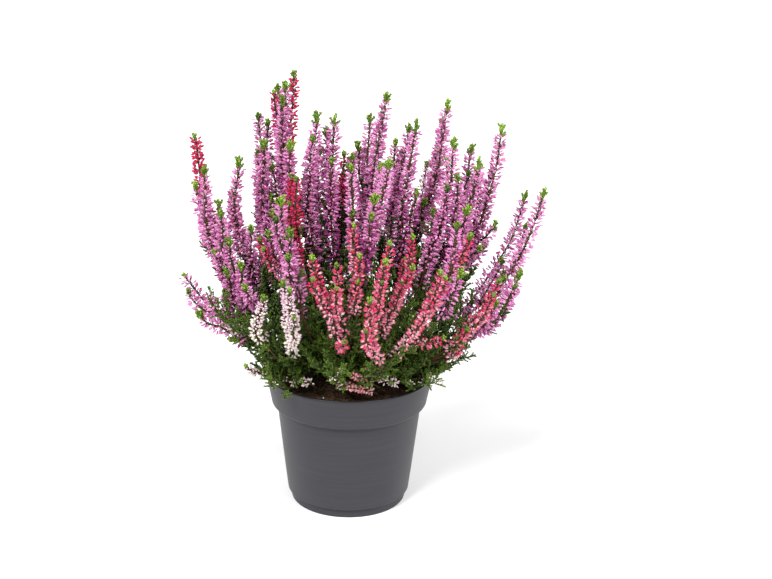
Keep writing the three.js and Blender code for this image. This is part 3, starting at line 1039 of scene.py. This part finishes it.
def turned(name, outline, sides, material, slot, relief=None):
    """A closed piece turned about Z from [radius, height] points that start and end on the axis."""
    outline = np.array(outline)
    turns = np.linspace(0, 2 * math.pi, sides, endpoint=False)
    rings = outline[1:-1, None]
    radii, heights = rings[..., 0], rings[..., 1]
    points = np.stack([radii * np.cos(turns), radii * np.sin(turns), heights + 0 * turns], -1)
    if relief is not None:
        relief(points)
    ends = [[0, 0, outline[0, 1]], [0, 0, outline[-1, 1]]]
    heap = Heap()
    heap.add(np.concatenate([points.reshape(-1, 3), ends]), *skin(np.linspace(0, 1, len(rings)), sides))
    return heap.piece(name, material, slot, mapped=False)


def arc(middle, radius, first_deg, last_deg, count):
    """Points of an arc in [radius, height], angles measured from the outward direction."""
    angles = np.radians(np.linspace(first_deg, last_deg, count))
    return [(middle[0] + radius * math.cos(a), middle[1] + radius * math.sin(a)) for a in angles]


def outer_wall():
    """The outline of the pot's outside, from its underside to the top of its lip."""
    edge = 0.7 * MM
    lip = 0.5 * MM
    outline = [(0, 0), (POT_FOOT_RADIUS - 3 * MM, 0)]
    outline += arc((POT_FOOT_RADIUS - edge, edge), edge, -90, 0, 5)
    outline += [(POT_FOOT_RADIUS + 0.1 * MM, POT_FOOT_Z - 0.6 * MM)]
    outline += [(POT_FOOT_RADIUS + 0.5 * MM, POT_FOOT_Z)]
    outline += arc((BODY_LOW_RADIUS - edge, POT_FOOT_Z + edge), edge, -90, 6, 6)
    for share in (0.2, 0.4, 0.6, 0.8, 0.985):
        radius = BODY_LOW_RADIUS + (BODY_TOP_RADIUS - BODY_LOW_RADIUS) * share
        outline.append((radius, POT_FOOT_Z + (COLLAR_FOOT_Z - POT_FOOT_Z) * share))
    for share in np.linspace(0, 1, 9):
        bulge = math.sin(share * RIGHT_ANGLE) ** 0.8
        radius = BODY_TOP_RADIUS + (COLLAR_LOW_RADIUS - BODY_TOP_RADIUS) * bulge
        outline.append((radius, COLLAR_FOOT_Z + SHOULDER * share))
    outline.append((RIM_RADIUS - 0.15 * MM, RIM_Z - 1.6 * MM))
    outline += arc((RIM_RADIUS - lip, RIM_Z - lip), lip, 0, 90, 5)
    return outline


def inner_wall():
    """The outline of the pot's hollow, from its lip down to the middle of its floor."""
    bead = 0.6 * MM
    inner_rim = RIM_RADIUS - 2.3 * MM
    outline = arc((inner_rim + bead, RIM_Z - 0.15 * MM - bead), bead, 90, 180, 5)
    outline += [(inner_rim, RIM_Z - 2.2 * MM), (RIM_RADIUS - WALL - 0.5 * MM, RIM_Z - 2.9 * MM)]
    shoulder_top = COLLAR_FOOT_Z + SHOULDER + WALL / 2
    outline += [(COLLAR_LOW_RADIUS - WALL, shoulder_top), (BODY_TOP_RADIUS - WALL, COLLAR_FOOT_Z + WALL / 2)]
    outline += [(BODY_LOW_RADIUS - WALL, POT_FOOT_Z + WALL), (POT_FOOT_RADIUS - WALL, POT_FOOT_Z + WALL)]
    outline += [(POT_FOOT_RADIUS - WALL, POT_FLOOR), (0, POT_FLOOR)]
    return outline


def make_pot():
    pot = turned("nursery_pot", outer_wall() + inner_wall(), POT_SIDES, PLASTIC_MATERIAL, "pot_plastic")
    drills = drain_drills()
    cut = pot.modifiers.new("drain_holes", "BOOLEAN")
    cut.operation = "DIFFERENCE"
    cut.solver = "EXACT"
    cut.object = drills
    depsgraph = bpy.context.evaluated_depsgraph_get()
    mesh = bpy.data.meshes.new_from_object(pot.evaluated_get(depsgraph))
    pot.modifiers.clear()
    pot.data = mesh
    bpy.data.objects.remove(drills)
    mesh.set_sharp_from_angle(angle=math.radians(SHARP_EDGE_DEG))
    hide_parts("pot")


def drain_drills():
    """Round drills for the drain holes near the edge of the floor, as one mesh."""
    heap = Heap()
    for hole in range(DRAIN_HOLES):
        turn = (hole + 0.5) * 2 * math.pi / DRAIN_HOLES
        middle = np.array([math.cos(turn), math.sin(turn), 0]) * DRAIN_CIRCLE_RADIUS
        line = Path(np.array([middle - UP * 2 * POT_FLOOR, middle + UP * 3 * POT_FLOOR]))
        heap.add_tube(line, [(0, DRAIN_HOLE_RADIUS), (1, DRAIN_HOLE_RADIUS)], 32, 2, 0.5)
    mesh = bpy.data.meshes.new("drills")
    mesh.from_pydata(np.concatenate(heap.points).tolist(), [], np.concatenate(heap.faces).tolist())
    return linked("drills", mesh)


# ---- the compost ----


def make_compost():
    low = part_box("compost")[0]
    side = [(43.3 * MM, low[2]), (43.3 * MM, 9.2 * MM), (46.2 * MM, 9.4 * MM)]
    side += [(54.3 * MM, 79.5 * MM), (58.7 * MM, 83 * MM), (61.6 * MM, 96 * MM)]
    top = [(COMPOST_RADIUS * share, COMPOST_EDGE_Z) for share in np.linspace(1, 0.02, 44)]
    crown = (0, compost_height(np.zeros(1), np.zeros(1))[0])

    def relief(points):
        surface = points[len(side):]
        surface[..., 2] = compost_height(surface[..., 0], surface[..., 1])

    outline = [(0, low[2]), *side, *top, crown]
    plug = turned("compost_plug", outline, COMPOST_SIDES, COMPOST_MATERIAL, "compost", relief)
    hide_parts("compost")
    rng = np.random.default_rng(11)
    scatter_crumbs(rng)
    scatter_fibres(rng)
    scatter_perlite(rng)


def spots_on_compost(rng, count):
    radius = LITTER_RADIUS * np.sqrt(rng.uniform(0, 1, count))
    turn = rng.uniform(0, 2 * math.pi, count)
    x, y = radius * np.cos(turn), radius * np.sin(turn)
    return np.stack([x, y, compost_height(x, y)], -1)


def scatter_crumbs(rng):
    heap = Heap()
    along, outward = rng.normal(0, 1, (2, CRUMBS, 3))
    size = rng.uniform(0.5, 1.5, CRUMBS) ** 1.6 * MM
    spots = spots_on_compost(rng, CRUMBS) - 0.4 * size[:, None] * UP
    heap.add_copies(CRUMB, spots, along, outward, 1.6 * size, 0.55 * size, 0.5)
    heap.piece("compost_crumbs", COMPOST_MATERIAL, "compost", smooth=False, mapped=False)


def scatter_fibres(rng):
    """Loose reddish-brown peat fibres that lie on the surface."""
    heap = Heap()
    for spot in spots_on_compost(rng, FIBRES):
        turn = rng.uniform(0, 2 * math.pi)
        lie = np.array([math.cos(turn), math.sin(turn), 0])
        across = np.array([-lie[1], lie[0], 0])
        length = rng.uniform(3, 8) * MM
        bow = rng.uniform(-0.25, 0.25) * length
        shares = np.array([-0.5, -0.2, 0.2, 0.5])[:, None]
        line = spot + lie * length * shares + across * bow * np.cos(math.pi * shares)
        if np.hypot(line[:, 0], line[:, 1]).max() > LITTER_RADIUS + 0.3 * MM:
            continue
        line[:, 2] = compost_height(line[:, 0], line[:, 1]) + rng.uniform(0.1, 0.6) * MM
        heap.add_tube(through(line, 6), [(0, 0.16 * MM), (1, 0.1 * MM)], 3, 5, rng.uniform(0, 1))
    heap.piece("peat_fibres", TWIG_MATERIAL, "compost")


def scatter_perlite(rng):
    heap = Heap()
    spots = spots_on_compost(rng, PERLITE_GRAINS)
    along, outward = rng.normal(0, 1, (2, PERLITE_GRAINS, 3))
    size = rng.uniform(0.5, 0.9, PERLITE_GRAINS) * MM
    heap.add_copies(CRUMB, spots, along, outward, 1.6 * size, 0.7 * size, 0.5)
    heap.piece("perlite_grains", PERLITE_MATERIAL, "compost", smooth=False, mapped=False)


# ---- the woody stocks ----


def make_stock(name):
    """A short woody stock with knots and rough bark."""
    low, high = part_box(name)
    middle = (np.array(low) + np.array(high)) / 2 * np.array([1, 1, 0])
    rng = np.random.default_rng(sum(map(ord, name)))
    heap = Heap()
    foot, tip = middle + UP * low[2], middle + UP * (high[2] + 2 * MM)
    path = wobbled(Path(np.linspace(foot, tip, 20)), rng, 0.35 * MM)
    radii = [(0, 4.2), (0.28, 4.4), (0.5, 3.6), (0.75, 2.9), (0.92, 2.3), (1, 0.8)]
    heap.add_tube(path, [(share, radius * MM) for share, radius in radii], 16, 30, 0.5)
    points = heap.points[0]
    knots = value_noise(points[:, 0] + points[:, 1], points[:, 2], 3 * MM, int(rng.integers(99)))
    away = (points - middle) * np.array([1, 1, 0])
    heap.points[0] = points + unit(away) * (0.45 * MM * knots)[:, None]
    stock = heap.piece("woody_" + name, BARK_MATERIAL, "bark", mapped=False)
    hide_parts(name)


# ---- light and camera ----


def make_floor():
    nodes = Nodes("floor", 0.9, 0.0)
    nodes.shader.inputs["Base Color"].default_value = (0.9, 0.9, 0.9, 1)
    mesh = bpy.data.meshes.new("floor")
    reach = 30.0
    corners = [(-reach, -reach, 0), (reach, -reach, 0), (reach, reach, 0), (-reach, reach, 0)]
    mesh.from_pydata(corners, [], [(0, 1, 2, 3)])
    mesh.materials.append(nodes.material)
    floor = linked("floor", mesh)


def add_sun(name, azimuth_deg, elevation_deg, spread_deg, strength):
    """A soft sun. Azimuth 0 is behind the camera, and it turns to the camera's right."""
    sun = bpy.data.lights.new(name, "SUN")
    sun.angle = math.radians(spread_deg)
    sun.energy = strength
    turn = Matrix.Rotation(math.radians(azimuth_deg), 4, "Z")
    linked(name, sun).matrix_world = turn @ Matrix.Rotation(math.radians(90 - elevation_deg), 4, "X")


def light_scene():
    scene = bpy.context.scene
    scene.view_settings.view_transform = "Standard"
    world = bpy.data.worlds.new("studio")
    scene.world = world
    world.use_nodes = True
    background = world.node_tree.nodes["Background"]
    background.inputs["Color"].default_value = (1, 1, 1, 1)
    background.inputs["Strength"].default_value = 0.5
    add_sun("key", azimuth_deg=-36, elevation_deg=48, spread_deg=25, strength=3.3)
    add_sun("fill", azimuth_deg=44, elevation_deg=46, spread_deg=30, strength=2.5)


def place_camera():
    lens = bpy.data.cameras.new("camera")
    lens.lens = CAMERA_LENS_MM
    lens.sensor_width = 36
    camera = linked("camera", lens)
    turn = Matrix.Rotation(-math.radians(CAMERA_RIGHT_DEG), 4, "Z")
    turn = turn @ Matrix.Rotation(math.radians(90 - CAMERA_DOWN_DEG), 4, "X")
    turn = turn @ Matrix.Rotation(math.radians(CAMERA_ROLL_DEG), 4, "Z")
    camera.matrix_world = Matrix.Translation((0, -CAMERA_DISTANCE, CAMERA_HEIGHT)) @ turn
    bpy.context.scene.camera = camera


# ---- making it all ----

place_camera()
light_scene()
make_floor()
make_pot()
make_compost()
for node in sorted(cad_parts):
    if node.startswith("stock"):
        make_stock(node)
    elif "shoot" in node:
        shoot = Shoot(node)
        shoot.grow()
        shoot.make_pieces()
